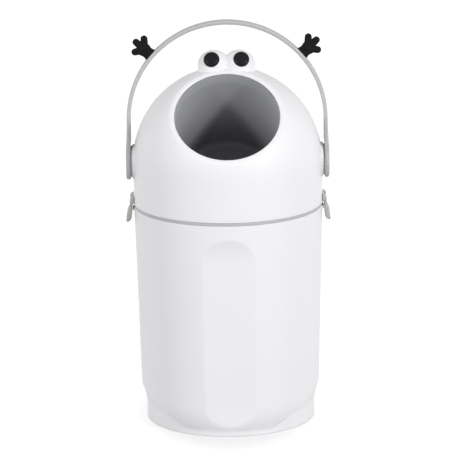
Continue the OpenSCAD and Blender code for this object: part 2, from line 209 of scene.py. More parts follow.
# z runs out of the mouth, x to the right and y up the mouth's plane
MOUTH = Axes(
    (0, 0, PIVOT_Z),
    (1, 0, 0),
    (0, math.sin(MOUTH_TILT), math.cos(MOUTH_TILT)),
    (0, -math.cos(MOUTH_TILT), math.sin(MOUTH_TILT)),
)


def axle_axes(side: Side) -> Axes:
    """Frame of one end of the axle: z points outwards along X from the pivot, and y is up."""
    s = float(side.value)
    return Axes((0, 0, PIVOT_Z), (0, s, 0), (0, 0, 1), (s, 0, 0))


def turned(profile: Array, axes: Axes, steps: int) -> Array:
    """Surface of revolution: the profile's first column is the radius, and its second runs along z.

    Args:
        profile: radius and height of each point.
        axes: frame whose z is the axis.
        steps: columns round the axis.

    Returns:
        Grid of points with one row for each step and one column for each profile point.
    """
    angle = np.linspace(0.0, 2 * math.pi, steps, endpoint=False)[:, None]
    radius, height = profile[:, 0][None], profile[:, 1][None]
    local = np.stack([radius * np.cos(angle), radius * np.sin(angle), height + 0 * angle], -1)
    return axes.place(local)


def ray_leaves_capsule(rays: Array, a: Array, b: Array, r_a: float, r_b: float) -> Array:
    """How far along each ray from the origin a tapered capsule is left, or 0 where it is missed.

    The capsule is a run of 15 balls from a to b whose radii go evenly from r_a to r_b. A ray leaves
    a ball at the larger root of its quadratic, and the farthest of the balls counts.

    Args:
        rays: unit directions.
        a: middle of the first ball.
        b: middle of the last ball.
        r_a: radius of the first ball.
        r_b: radius of the last ball.

    Returns:
        Distance for each ray.
    """
    share = np.linspace(0.0, 1.0, 15)[:, None]
    middles = a + (b - a) * share
    radii = r_a + (r_b - r_a) * share[:, 0]
    along = rays @ middles.T
    root = along**2 - (middles**2).sum(1) + radii**2
    leave = np.where(root > 0, along + np.sqrt(np.maximum(root, 0.0)), 0.0)
    return np.maximum(leave, 0.0).max(-1)


def sphere_rays(rows: int, cols: int) -> Array:
    """Unit directions on a grid of latitudes, pole to pole along z, by longitudes.

    Args:
        rows: latitudes, with both poles.
        cols: longitudes.

    Returns:
        Grid of directions.
    """
    lat = np.linspace(0.0, math.pi, rows)[:, None]
    lon = np.linspace(0.0, 2 * math.pi, cols, endpoint=False)[None]
    return np.stack([np.sin(lat) * np.cos(lon), np.sin(lat) * np.sin(lon), np.cos(lat) + 0 * lon], -1)


# ---------------------------------------------------------------- meshes


def grid_quads(rows: int, cols: int, wrap_rows: bool, wrap_cols: bool) -> Array:
    """Corner numbers of the quads of a grid stored row by row, joined end to end where it wraps.

    Args:
        rows: rows of the grid.
        cols: columns of the grid.
        wrap_rows: whether the last row joins the first.
        wrap_cols: whether the last column joins the first.

    Returns:
        Four corner numbers for each quad.
    """
    i = np.arange(rows if wrap_rows else rows - 1)[:, None]
    j = np.arange(cols if wrap_cols else cols - 1)[None]
    i2, j2 = (i + 1) % rows, (j + 1) % cols
    quads = np.stack([i * cols + j, i2 * cols + j, i2 * cols + j2, i * cols + j2], -1)
    return quads.reshape(-1, 4)


def put_in_scene(name: str, data: bpy.types.ID) -> Piece:
    """Makes an object of a mesh, a lamp or a camera, and links it into the scene.

    Args:
        name: name of the object.
        data: what it holds.

    Returns:
        The object.
    """
    obj = bpy.data.objects.new(name, data)
    bpy.context.scene.collection.objects.link(obj)
    return obj


@dataclass
class Shell:
    """Closed surface made of grids, collected before it becomes one mesh."""

    points: list[Array] = field(default_factory=list)
    faces: list[list[int]] = field(default_factory=list)
    count: int = 0

    def add_grid(self, grid: Array, wrap_rows: bool = True, wrap_cols: bool = False) -> "Shell":
        """Adds a grid of points.

        Args:
            grid: points, in rows and columns.
            wrap_rows: whether the last row joins the first.
            wrap_cols: whether the last column joins the first.

        Returns:
            This shell.
        """
        rows, cols = grid.shape[:2]
        self.faces += (grid_quads(rows, cols, wrap_rows, wrap_cols) + self.count).tolist()
        self.points.append(grid.reshape(-1, 3))
        self.count += rows * cols
        return self

    def add_tube(self, grid: Array) -> "Shell":
        """Adds a grid whose rows are rings, and closes it with one face at each end.

        Args:
            grid: points, one ring a row.

        Returns:
            This shell.
        """
        rows, cols = grid.shape[:2]
        first, last = self.count, self.count + (rows - 1) * cols
        self.add_grid(grid, wrap_rows=False, wrap_cols=True)
        self.faces += [list(range(first, first + cols))[::-1], list(range(last, last + cols))]
        return self

    def add_prism(self, outline: Array, axes: Axes, lengths: Sequence[float]) -> "Shell":
        """Carries a closed outline in x and y along z, through the given lengths, and caps both ends.

        Args:
            outline: closed outline, one point a row.
            axes: frame that the outline and lengths are in.
            lengths: places along z, in order.

        Returns:
            This shell.
        """
        rows = [np.c_[outline, np.full(len(outline), z)] for z in lengths]
        return self.add_tube(axes.place(np.stack(rows)))

    def build(self, name: str, sharp_degrees: float = 40.0) -> Piece:
        """Makes the mesh: metres, merged seams and poles, outward faces, smooth up to an angle.

        Args:
            name: name of the piece.
            sharp_degrees: edges that turn more than this stay sharp.

        Returns:
            The new object, at the origin.
        """
        mesh = bpy.data.meshes.new(name)
        mesh.from_pydata((np.concatenate(self.points) * MM).tolist(), [], self.faces)
        bm = bmesh.new()
        bm.from_mesh(mesh)
        bmesh.ops.remove_doubles(bm, verts=bm.verts, dist=2e-6)
        bmesh.ops.dissolve_degenerate(bm, edges=bm.edges, dist=1e-7)
        bmesh.ops.recalc_face_normals(bm, faces=bm.faces)
        bm.to_mesh(mesh)
        bm.free()
        mesh.shade_smooth()
        mesh.set_sharp_from_angle(angle=math.radians(sharp_degrees))
        return put_in_scene(name, mesh)


def turned_piece(name: str, profile: Array, axes: Axes, steps: int, closed: bool = False,
                 sharp_degrees: float = 40.0) -> Piece:
    """Piece made of one surface of revolution, whose profile ends on the axis or closes on itself."""
    return Shell().add_grid(turned(profile, axes, steps), wrap_cols=closed).build(name, sharp_degrees)


# ---------------------------------------------------------------- finishes


class Look(Enum):
    """The finishes of this bin, one for each material slot of the record."""

    WHITE = "white_shell"
    RING = "ring_grey"
    SEAL = "seal_rubber"
    BUSH = "bush_grey"
    PUPIL = "pupil_black"
    STEEL = "steel"
    CLIP = "clip_grey"
    DRUM = "drum_grey"
    AXLE = "axle_grey"
    HANDLE = "handle_grey"
    HAND = "hand_black"


@dataclass(frozen=True)
class Wiring:
    """Adds nodes to one shader tree. Each operand is a socket to link or a plain value to set."""

    tree: bpy.types.NodeTree

    def put(self, slot: Socket, value: object) -> None:
        """Links a socket into the slot, or sets the slot's own value.

        Args:
            slot: input of a node.
            value: the socket to link, or the plain value.
        """
        if isinstance(value, Socket):
            self.tree.links.new(value, slot)
        else:
            slot.default_value = value

    def node(self, kind: str, inputs: dict[str, object] | None = None) -> bpy.types.ShaderNode:
        """Adds a shader node and fills its inputs by name.

        Args:
            kind: the type of node, without its common prefix.
            inputs: operand for each named input.

        Returns:
            The node.
        """
        node = self.tree.nodes.new(f"ShaderNode{kind}")
        for label, value in (inputs or {}).items():
            self.put(node.inputs[label], value)
        return node

    def place(self, output: str) -> Socket:
        """One of the texture coordinates."""
        return self.node("TexCoord").outputs[output]

    def axes(self, vector: Socket) -> bpy.types.bpy_prop_collection:
        """The X, Y and Z of a vector."""
        return self.node("SeparateXYZ", {"Vector": vector}).outputs

    def math(self, kind: str, a: object, b: object = 0.0) -> Socket:
        """Result of a Math node.

        Args:
            kind: the operation.
            a: first operand.
            b: second operand.

        Returns:
            The node's output.
        """
        node = self.node("Math")
        node.operation = kind
        self.put(node.inputs[0], a)
        self.put(node.inputs[1], b)
        return node.outputs[0]

    def add(self, a: object, b: object) -> Socket:
        """Sum of two operands."""
        return self.math("ADD", a, b)

    def times(self, a: object, b: object) -> Socket:
        """Product of two operands."""
        return self.math("MULTIPLY", a, b)

    def vector(self, kind: str, output: str, a: Socket, b: Triple = (0, 0, 0)) -> Socket:
        """Output of a Vector Math node on a socket and a fixed vector.

        Args:
            kind: the operation.
            output: name of the output that is wanted.
            a: the vector socket.
            b: the fixed vector.

        Returns:
            That output.
        """
        node = self.node("VectorMath")
        node.operation = kind
        self.put(node.inputs[0], a)
        self.put(node.inputs[1], b)
        return node.outputs[output]

    def ramp(self, value: Socket, start: float, end: float, low: float = 0.0, high: float = 1.0,
             kind: str = "LINEAR") -> Socket:
        """Maps a value from start..end to low..high, and holds it there outside.

        Args:
            value: the value to map.
            start: value that gives low.
            end: value that gives high.
            low: result at the start.
            high: result at the end.
            kind: interpolation between the two.

        Returns:
            The mapped value.
        """
        node = self.node("MapRange", {
            "Value": value, "From Min": start, "From Max": end, "To Min": low, "To Max": high})
        node.interpolation_type = kind
        return node.outputs["Result"]

    def noise(self, scale: object, detail: float, roughness: float) -> Socket:
        """Value of a Noise texture on Object coordinates.

        Args:
            scale: number or socket.
            detail: octaves of the noise.
            roughness: weight of the finer octaves.

        Returns:
            The noise's value.
        """
        return self.node("TexNoise", {
            "Vector": self.place("Object"), "Scale": scale, "Detail": detail,
            "Roughness": roughness}).outputs["Fac"]

    def mix(self, mask: Socket, a: object, b: object) -> Socket:
        """Colour between two colours or sockets, by a mask.

        Args:
            mask: 0 for the first colour, 1 for the second.
            a: first colour.
            b: second colour.

        Returns:
            The mixed colour.
        """
        node = self.node("Mix")
        node.data_type = "RGBA"
        for slot, value in zip((node.inputs[0], *node.inputs[6:8]), (mask, a, b)):
            self.put(slot, (*value, 1.0) if isinstance(value, tuple) else value)
        return node.outputs[2]

    def seen(self) -> Socket:
        """Mask that is 1 for camera, glossy and transmission rays, and 0 for the rest.

        Returns:
            The mask.
        """
        rays = self.node("LightPath").outputs
        shown = self.math("MAXIMUM", rays["Is Camera Ray"], rays["Is Glossy Ray"])
        return self.math("MAXIMUM", shown, rays["Is Transmission Ray"])


def moulded_group() -> bpy.types.ShaderNodeTree:
    """Moulded plastic's surface: fine spark grain, slow flow waves, handling marks and rubbed edges.

    Grain is fine noise. Flow is coarse noise, as the wall's thickness changes sheen a little. Marks are
    a thresholded middle noise. Rubbed edges come from the mesh's pointiness above a threshold.

    Returns:
        Group with outputs Tone (0 to 1), Rough (added roughness), Height, and Rub (mask of the edges).
    """
    tree = bpy.data.node_groups.new("moulded_surface", "ShaderNodeTree")
    for way, labels in (("INPUT", ("Grain scale", "Grain", "Flow scale", "Flow", "Marks")),
                        ("OUTPUT", ("Tone", "Rough", "Height", "Rub"))):
        for label in labels:
            tree.interface.new_socket(label, in_out=way, socket_type="NodeSocketFloat")
    get = tree.nodes.new("NodeGroupInput").outputs
    put = tree.nodes.new("NodeGroupOutput").inputs
    wire = Wiring(tree)
    grain = wire.noise(get["Grain scale"], 2.0, 0.55)
    flow = wire.noise(get["Flow scale"], 3.0, 0.45)
    marked = wire.times(wire.ramp(wire.noise(MARK_SCALE, 4.0, 0.7), *MARK_LIMITS), get["Marks"])
    waved = wire.times(flow, get["Flow"])
    grained = wire.times(grain, get["Grain"])
    wire.put(put["Tone"], wire.add(waved, wire.times(marked, 0.3)))
    wire.put(put["Rough"], wire.add(wire.times(waved, 0.1), wire.times(marked, 0.12)))
    wire.put(put["Height"], wire.add(wire.times(grained, 0.012), wire.times(flow, 0.1)))
    wire.put(put["Rub"], wire.ramp(wire.node("NewGeometry").outputs["Pointiness"], *RUB_LIMITS))
    return tree


def cup_depth(wire: Wiring) -> Socket:
    """Mask of the shade painted into the cup: 0 at the cup's lip, growing to 1 at its floor, and 0 on the
    rest of the drum.

    A point's height is its offset from the pivot dotted with the mouth's axis, and its radius is what
    Pythagoras leaves of the offset's length.

    Args:
        wire: the drum material's tree.

    Returns:
        The mask.
    """
    pivot = tuple(v * MM for v in MOUTH.origin)
    offset = wire.vector("SUBTRACT", "Vector", wire.place("Object"), pivot)
    height = wire.vector("DOT_PRODUCT", "Value", offset, MOUTH.z)
    length = wire.vector("LENGTH", "Value", offset)
    away = wire.math("SUBTRACT", wire.times(length, length), wire.times(height, height))
    inside = wire.math("LESS_THAN", away, (CUP_R + 0.8) ** 2 * MM**2)
    inside = wire.times(inside, wire.math("GREATER_THAN", height, -(CUP_BACK + 1.0) * MM))
    return wire.times(inside, wire.ramp(height, SHADE_START * MM, -CUP_BACK * MM, kind="SMOOTHSTEP"))


@dataclass(frozen=True)
class Moulded:
    """Finish of a moulded piece: its colour, how far the colour wanders, its sheen, its grain and any shade
    painted into a cup.
    """

    colour: Triple
    deeper: Triple
    rubbed: Triple
    roughness: float
    grain_scale: float = 2600.0
    grain: float = 0.5
    flow_scale: float = 9.0
    flow: float = 0.6
    marks: float = 0.25
    bump: float = 0.25
    metallic: float = 0.0
    specular: float = 0.5
    hollow: float = 0.0

    def material(self, look: Look, group: bpy.types.ShaderNodeTree) -> bpy.types.Material:
        """Builds the material: the group's masks mix the three colours and raise roughness and bump, and
        painted shade may darken a cup.

        Args:
            look: which finish this is, for the material's name.
            group: the moulded surface group.

        Returns:
            The material.
        """
        mat = bpy.data.materials.new(look.value)
        mat.use_nodes = True
        wire = Wiring(mat.node_tree)
        surface = wire.node("Group")
        surface.node_tree = group
        for label, value in (("Grain scale", self.grain_scale), ("Grain", self.grain),
                             ("Flow scale", self.flow_scale), ("Flow", self.flow), ("Marks", self.marks)):
            wire.put(surface.inputs[label], value)
        masks = surface.outputs
        colour = wire.mix(masks["Rub"], wire.mix(masks["Tone"], self.colour, self.deeper), self.rubbed)
        # painted shade: the colour darkens towards the cup's floor, where shade falls
        if self.hollow:
            dark = (SHADE_LEVEL * self.deeper[0],) * 3
            colour = wire.mix(wire.times(cup_depth(wire), self.hollow), colour, dark)
        bump = wire.node("Bump", {
            "Strength": self.bump, "Distance": BUMP_DEPTH, "Height": masks["Height"]})
        shader = mat.node_tree.nodes["Principled BSDF"].inputs
        for label, value in (("Base Color", colour), ("Metallic", self.metallic),
                             ("Roughness", wire.add(masks["Rough"], self.roughness)),
                             ("Normal", bump.outputs["Normal"]),
                             ("Specular IOR Level", self.specular)):
            wire.put(shader[label], value)
        return mat


FINISHES: dict[Look, Moulded] = {
    Look.WHITE: Moulded((0.86, 0.86, 0.875), (0.83, 0.83, 0.845), (0.9, 0.9, 0.91), 0.42,
                        bump=0.15, specular=0.35),
    Look.RING: Moulded((0.49, 0.49, 0.51), (0.46, 0.46, 0.48), (0.52, 0.52, 0.54), 0.45),
    Look.SEAL: Moulded((0.4, 0.4, 0.41), (0.36, 0.36, 0.37), (0.46, 0.46, 0.47), 0.7,
                       grain=1.0, bump=0.3),
    Look.BUSH: Moulded((0.7, 0.7, 0.71), (0.67, 0.67, 0.68), (0.74, 0.74, 0.75), 0.5),
    Look.PUPIL: Moulded((0.007, 0.007, 0.009), (0.009, 0.009, 0.011), (0.012, 0.012, 0.014), 0.22,
                        grain=0.1, bump=0.02, specular=0.15),
    Look.STEEL: Moulded((0.6, 0.6, 0.6), (0.5, 0.5, 0.5), (0.7, 0.7, 0.7), 0.28, metallic=1.0),
    Look.CLIP: Moulded((0.48, 0.48, 0.46), (0.45, 0.45, 0.43), (0.52, 0.52, 0.5), 0.45),
    # the drum's colour has shade painted into its cup, darker towards the floor
    Look.DRUM: Moulded((0.43, 0.435, 0.46), (0.41, 0.415, 0.44), (0.46, 0.465, 0.49), 0.6,
                       specular=0.3, hollow=0.58),
    Look.AXLE: Moulded((0.33, 0.33, 0.32), (0.3, 0.3, 0.29), (0.4, 0.4, 0.39), 0.4),
    Look.HANDLE: Moulded((0.5, 0.5, 0.495), (0.48, 0.48, 0.475), (0.53, 0.53, 0.525), 0.5, bump=0.1),
    Look.HAND: Moulded((0.009, 0.009, 0.009), (0.012, 0.012, 0.012), (0.018, 0.018, 0.018), 0.7,
                       grain=0.6, bump=0.15, specular=0.08),
}


@dataclass
class Dresser:
    """Makes the materials once, and finishes pieces and nodes with them."""

    frame: dict
    materials: dict[Look, bpy.types.Material] = field(default_factory=dict)

    def __post_init__(self) -> None:
        """Builds every finish's material."""
        group = moulded_group()
        self.materials = {look: finish.material(look, group) for look, finish in FINISHES.items()}

    def piece(self, obj: Piece, look: Look, body: str, *nodes: str) -> Piece:
        """Gives a new piece its material, its body and the nodes that it stands for.

        Args:
            obj: the piece, finished and in place.
            look: its finish.
            body: the body that it rides on.
            nodes: the nodes that it replaces.

        Returns:
            The same piece.
        """
        obj.data.materials.clear()
        obj.data.materials.append(self.materials[look])
        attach(obj, body)
        if nodes:
            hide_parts(*nodes)
        LOG.info("%s rides on %s and stands for %s", obj.name, body, ", ".join(nodes) or "itself")
        return obj

    def nodes(self) -> None:
        """Gives every node that is carried over the finish of its own slot."""
        for row in self.frame["record"]["subparts"]:
            obj = self.frame["nodes"][row["node"]]
            obj.data.materials.clear()
            obj.data.materials.append(self.materials[Look(row["material_slot"])])
            LOG.info("%s is finished as %s", obj.name, row["material_slot"])


# ---------------------------------------------------------------- bucket


@dataclass
class Bucket:
    """White bucket and the grey ring on its rim."""

    wall: float = 3.0
    foot_r: float = 120.4
    foot_top: float = 25.0
    foot_fillet: float = 1.3
    curl_r: float = 95.0
    curl_z: float = 44.0
    arch_r: float = 160.0
    arch_top: float = 52.0
    arch_half: float = 126.0
    skirt_low: float = 2.9
    flat_half: float = 39.0
    panel_top: float = 293.0
    panel_low: float = 16.0
    panel_slope: float = 36.0
    low_bow: float = 0.2
    floor_z: float = 13.0
    floor_fillet: float = 6.0
    wall_low: float = 20.0
    recess: float = 5.0
    recess_r: float = 105.3
    lip: float = 1.6
    near_top: float = 62.0
    blend: float = 0.8
    panel_blend: float = 0.5
    catch: tuple[float, float, float, float] = (132.6, 136.6, 306.5, 311.0)
    catch_half: float = 10.0

    @property
    def taper(self) -> float:
        """Growth of the body's radius for each millimetre of height."""
        return (BASE_TOP_R - WAIST_R) / (BASE_H - WAIST_H)

    def wall_r(self, z: Array) -> Array:
        """Radius of the tapered body at a height."""
        return WAIST_R + self.taper * (z - WAIST_H)

    def foot(self, z: Array) -> Array:
        """Radius of the foot: upright to foot_top, then a slope out to the waist, its corner eased.

        Args:
            z: height of each point.

        Returns:
            Radius at each height.
        """
        slope = (WAIST_R - 0.1 - self.foot_r) / (WAIST_H - self.foot_top)
        up = smooth_max(np.full_like(z, self.foot_r), self.foot_r + slope * (z - self.foot_top), 1.5)
        gone = np.clip(self.foot_fillet - z, 0.0, self.foot_fillet)
        fillet = self.foot_fillet - np.sqrt(self.foot_fillet**2 - gone**2)
        return np.minimum(up, self.wall_r(z) - 0.6) - fillet

    def body(self, z: Array) -> Array:
        """Radius of the body: tapered wall, and below curl_z a circle of curl_r that curls under.

        Args:
            z: height of each point.

        Returns:
            Radius at each height.
        """
        drop = np.clip(self.curl_z - z, 0.0, self.curl_r)
        curl = self.wall_r(np.float64(self.curl_z)) - self.curl_r + np.sqrt(self.curl_r**2 - drop**2)
        return np.where(z >= self.curl_z, self.wall_r(z), curl)

    def skirt_edge(self, angle: Array) -> Array:
        """Height of the skirt's lower edge: a wide arch over each side, from a circle in Y and Z."""
        y = self.arch_half * np.cos(angle)
        return np.clip(self.arch_top - self.arch_r + np.sqrt(self.arch_r**2 - y**2), self.skirt_low, None)

    def panel(self, z: Array) -> Array:
        """Distance of the panel's plane from the axis.

        It leans with the wall's taper. Within panel_slope of its top and its foot it bows outwards as a
        parabola, which reaches the wall at the top and a low_bow share of the way at the foot.

        Args:
            z: height of each point.

        Returns:
            Distance at each height.
        """
        sag = BASE_TOP_R - math.sqrt(BASE_TOP_R**2 - self.flat_half**2)
        lean = self.taper * (self.panel_top - z)
        above = np.maximum(z - (self.panel_top - self.panel_slope), 0.0) / self.panel_slope
        below = np.maximum(self.panel_low + self.panel_slope - z, 0.0) / self.panel_slope
        return BASE_TOP_R - sag - lean + sag * (above**2 + self.low_bow * below**2)

    def angles(self) -> Array:
        """Columns round the bucket, close together along the panel's upright edges.

        Returns:
            Angles from the front, in radians.
        """
        quarter = np.concatenate([
            np.arange(0, 13.6, 1.36), np.arange(13.6, 20, 0.32), np.arange(20, 90, 1.25)])
        half = np.concatenate([quarter, 180 - quarter[::-1]])
        return np.radians(np.concatenate([half, -half[::-1][1:-1]]))

    def outside(self, angle: Array, inset: float) -> Array:
        """Outside of the bucket from the foot to the rim, moved inwards by inset.

        Below the skirt's edge the radius is the foot's, and above it the larger of foot and body. A
        quarter round of height lip turns the step between them. The panel then cuts in: the radius is
        held under the plane's distance over the cosine of the column's angle, with a soft edge.

        Args:
            angle: angle of each column from the front.
            inset: distance of the wall's inside.

        Returns:
            Grid of points, one row for each column of the angle.
        """
        edge = self.skirt_edge(angle)[:, None]
        start = self.foot_fillet - 1.0
        z_low = start + (edge - start - self.lip) * np.linspace(0.0, 1.0, 26)[None]
        turn = np.linspace(0.0, math.pi / 2, 7)[None]
        z_lip = edge - self.lip + self.lip * (1 - np.cos(turn))
        z_near = edge + np.linspace(0.0, 1.0, 22)[None][:, 1:] * (self.near_top - edge)
        z_high = np.concatenate([np.arange(65.0, 262.0, 7.0), np.arange(262.0, 300.0, 0.9), [304.0, 308.0]])
        z_up = np.concatenate([z_near, np.tile(z_high, (len(angle), 1))], 1)
        r_lip, r_up = [smooth_max(self.foot(z), self.body(z), self.blend) for z in (z_lip, z_up)]
        r_lip = self.foot(z_lip) + (r_lip - self.foot(z_lip)) * np.sin(turn)
        z = np.concatenate([z_low, z_lip, z_up], 1)
        r = np.concatenate([self.foot(z_low), r_lip, r_up], 1) - inset
        across = np.abs(np.cos(angle))[:, None]
        plane = (self.panel(z) - inset) / np.maximum(across, 0.2)
        r = smooth_min(r, plane, self.panel_blend)
        return np.stack([r * np.sin(angle)[:, None], -r * np.cos(angle)[:, None], z], -1)

    def shell(self) -> Piece:
        """Bucket: underside, outside, rounded rim, inside wall and floor in one closed surface.

        Returns:
            The piece.
        """
        angle = self.angles()
        out = self.outside(angle, 0.0)
        # the inside wall stops above the floor's fillet
        inside = self.outside(angle, self.wall)[:, ::-1]
        inside = inside[:, inside[0, :, 2] > self.wall_low]

        def ring(r: float, z: float) -> Array:
            """One column of the grid: a level circle."""
            return np.stack([r * np.sin(angle), -r * np.cos(angle), np.full_like(angle, z)], -1)[:, None]

        foot_corner = rounded([(self.foot_r - 9, 0, 0), (self.foot_r, 0, self.foot_fillet),
                               (self.foot_r, 8, 0)], False, 8)[:-2]
        under = [(0, self.recess), (self.recess_r - 1, self.recess), (self.recess_r, self.recess - 1),
                 (self.recess_r, 0.6), (self.recess_r + 0.6, 0.0), *foot_corner]
        rim_in = BASE_TOP_R - self.wall
        rim = rounded([(BASE_TOP_R - 0.1, BASE_H - 2, 0), (BASE_TOP_R, BASE_H, 0.7),
                       (rim_in, BASE_H, 0.7), (rim_in - 0.1, BASE_H - 2, 0)], False, 4)
        floor_r = self.foot_r - self.wall
        floor = rounded([(floor_r, self.wall_low + 2, 0), (floor_r, self.floor_z, self.floor_fillet),
                         (0, self.floor_z, 0)], False, 6)
        under, rim, floor = [np.concatenate([ring(r, z) for r, z in run], 1) for run in (under, rim, floor)]
        shell = Shell().add_grid(np.concatenate([under, out, rim, inside, floor], 1))
        root, nose, low, high = self.catch
        outline = rounded([(root, low, 0), (nose, low, 0.5), (nose, low + 2.3, 0.6),
                           (nose - 2.2, high, 0.5), (root, high, 0)], True, 4)
        lengths = np.linspace(-self.catch_half, self.catch_half, 5)
        for side in Side:
            s = float(side.value)
            shell.add_prism(outline, Axes((0, 0, 0), (s, 0, 0), (0, 0, 1), (0, 1, 0)), lengths)
        return shell.build("bucket_shell", 35)

    def ring(self) -> Piece:
        """Grey ring: a turned outline that sits on the rim, with a collar down and a spigot up.

        Returns:
            The piece.
        """
        spigot = BASE_TOP_R - self.wall - 0.22
        collar_h = 12
        collar = spigot - self.taper * collar_h
        inner = collar - 2.6
        outline = rounded(
            [(inner, BASE_H - collar_h, 0.5), (collar, BASE_H - collar_h, 1.0), (collar, BASE_H, 0.2),
             (BASE_TOP_R, BASE_H, 0.7), (BASE_TOP_R, RING_TOP, 0.7), (spigot, RING_TOP, 0.3),
             (spigot, RING_TOP + 6, 0.8), (inner, RING_TOP + 6, 0.6)], True, 4)
        return turned_piece("rim_ring", outline, UPRIGHT, 320, closed=True)

    def make(self, dress: Dresser) -> None:
        """Builds and dresses the bucket.

        Args:
            dress: what finishes the pieces.
        """
        dress.piece(self.shell(), Look.WHITE, "bucket", "base_shell")
        dress.piece(self.ring(), Look.RING, "bucket", "bag_ring")


# ---------------------------------------------------------------- hood


@dataclass
class Hood:
    """Domed hood with the slanted mouth, and the bearings of the axle in its sides."""

    columns: int = 288
    collar_back: float = 105.0
    collar_r: float = 84.0
    bore_r: float = 12.06
    sleeve_r: float = 14.98
    sleeve_in: float = 129.2
    flange_r: float = 22.5
    flange_in: float = 132.6
    flange_out: float = 138.0
    boss_r: float = 24.8
    boss_out: float = 135.9
    boss_in: float = 131.0
    lip_flat_r: float = 81.0
    lip_blend: float = 9.0
    blend_r: float = 88.0

    def skin(self, turn: Array, radius: float, first: float, rows: int, drops: int) -> Array:
        """Ball and straight skirt of one radius, from a cone round the mouth's axis down to the rim.

        A column leaves the mouth's axis at the angle first and runs along a great circle to the level
        of the ball's middle, which it meets at atan2(z of the axis, minus z of the column's own
        direction). From there it falls straight down to the rim.

        Args:
            turn: angle of each column round the mouth's axis.
            radius: radius of the ball and skirt.
            first: angle from the mouth's axis at which the column starts.
            rows: points on the ball.
            drops: points on the straight skirt.

        Returns:
            Grid of points in the row frame, one row for each column.
        """
        axis = np.array(MOUTH.z)
        side = np.cos(turn)[:, None] * np.array(MOUTH.x) + np.sin(turn)[:, None] * np.array(MOUTH.y)
        last = np.arctan2(axis[2], -side[:, 2])[:, None]
        share = np.linspace(0.0, 1.0, rows)[None] ** 1.15
        polar = (first + (last - first) * share)[..., None]
        ball = (np.cos(polar) * axis + np.sin(polar) * side[:, None]) * radius + np.array([0, 0, PIVOT_Z])
        fall = np.linspace(0.0, 1.0, drops)[None, 1:, None]
        rim = ball[:, -1:] * np.array([1.0, 1.0, 0.0]) + np.array([0, 0, HOOD_Z])
        return np.concatenate([ball, ball[:, -1:] + (rim - ball[:, -1:]) * fall], 1)

    def shell(self) -> Piece:
        """Hood: mouth's lip and soft collar, outer skin, rim and inner skin in one closed surface.

        Returns:
            The piece.
        """
        turn = np.linspace(0.0, 2 * math.pi, self.columns, endpoint=False)
        on_ball = math.sqrt(BODY_R**2 - self.blend_r**2)
        on_inside = math.sqrt(HOOD_IN_R**2 - self.collar_r**2)
        lip = rounded(
            [(self.collar_r, on_inside, 0), (self.collar_r, self.collar_back, 0.8),
             (MOUTH_R, self.collar_back, 0.6), (MOUTH_R, MOUTH_REACH, 1.1),
             (self.lip_flat_r, MOUTH_REACH, self.lip_blend), (self.blend_r, on_ball, 0)], False, 8)
        collar = turned(lip, MOUTH, self.columns)
        outer = self.skin(turn, BODY_R, math.asin(self.blend_r / BODY_R), 60, 10)
        inner = self.skin(turn, HOOD_IN_R, math.asin(self.collar_r / HOOD_IN_R), 36, 8)
        down = outer[:, -1:] * np.array([1.0, 1.0, 0.0])
        corner = rounded([(BODY_R, HOOD_Z + 3, 0), (BODY_R, HOOD_Z, 0.7),
                          (HOOD_IN_R, HOOD_Z, 0.7), (HOOD_IN_R, HOOD_Z + 3, 0)], False, 4)[1:-1]
        rim = [down * (r / BODY_R) + np.array([0, 0, z]) for r, z in corner]
        grid = np.concatenate([collar, outer[:, 1:-1], *rim, inner[:, ::-1][:, 1:-1]], 1)
        shell = Shell().add_grid(grid, wrap_cols=True)
        bore = self.flange_r + 0.1
        boss = rounded([(bore, self.boss_in, 0), (self.boss_r, self.boss_in, 0),
                        (self.boss_r, self.boss_out, 2.0), (bore, self.boss_out, 0.3)], True, 5)
        for side in Side:
            shell.add_grid(turned(boss, axle_axes(side), 96), wrap_cols=True)
        return shell.build("hood_skin", 45)

    def bush(self, side: Side) -> Piece:
        """Bearing: a sleeve in the hood's boss, and the round flange that shows beside the handle.

        Args:
            side: side of the bin.

        Returns:
            The piece.
        """
        outline = rounded(
            [(self.bore_r, self.sleeve_in, 0.3), (self.sleeve_r, self.sleeve_in, 0.4),
             (self.sleeve_r, self.flange_in, 0.2), (self.flange_r, self.flange_in, 0.2),
             (self.flange_r, self.flange_out, 1.0), (self.bore_r, self.flange_out, 0.5)], True, 4)
        return turned_piece(f"bearing_{side.word}", outline, axle_axes(side), 96, closed=True)

    def make(self, dress: Dresser) -> None:
        """Builds and dresses the hood.

        Args:
            dress: what finishes the pieces.
        """
        dress.piece(self.shell(), Look.WHITE, "hood", "hood_shell")
        for side in Side:
            dress.piece(self.bush(side), Look.BUSH, "hood", f"axle_bush_{side.word}")


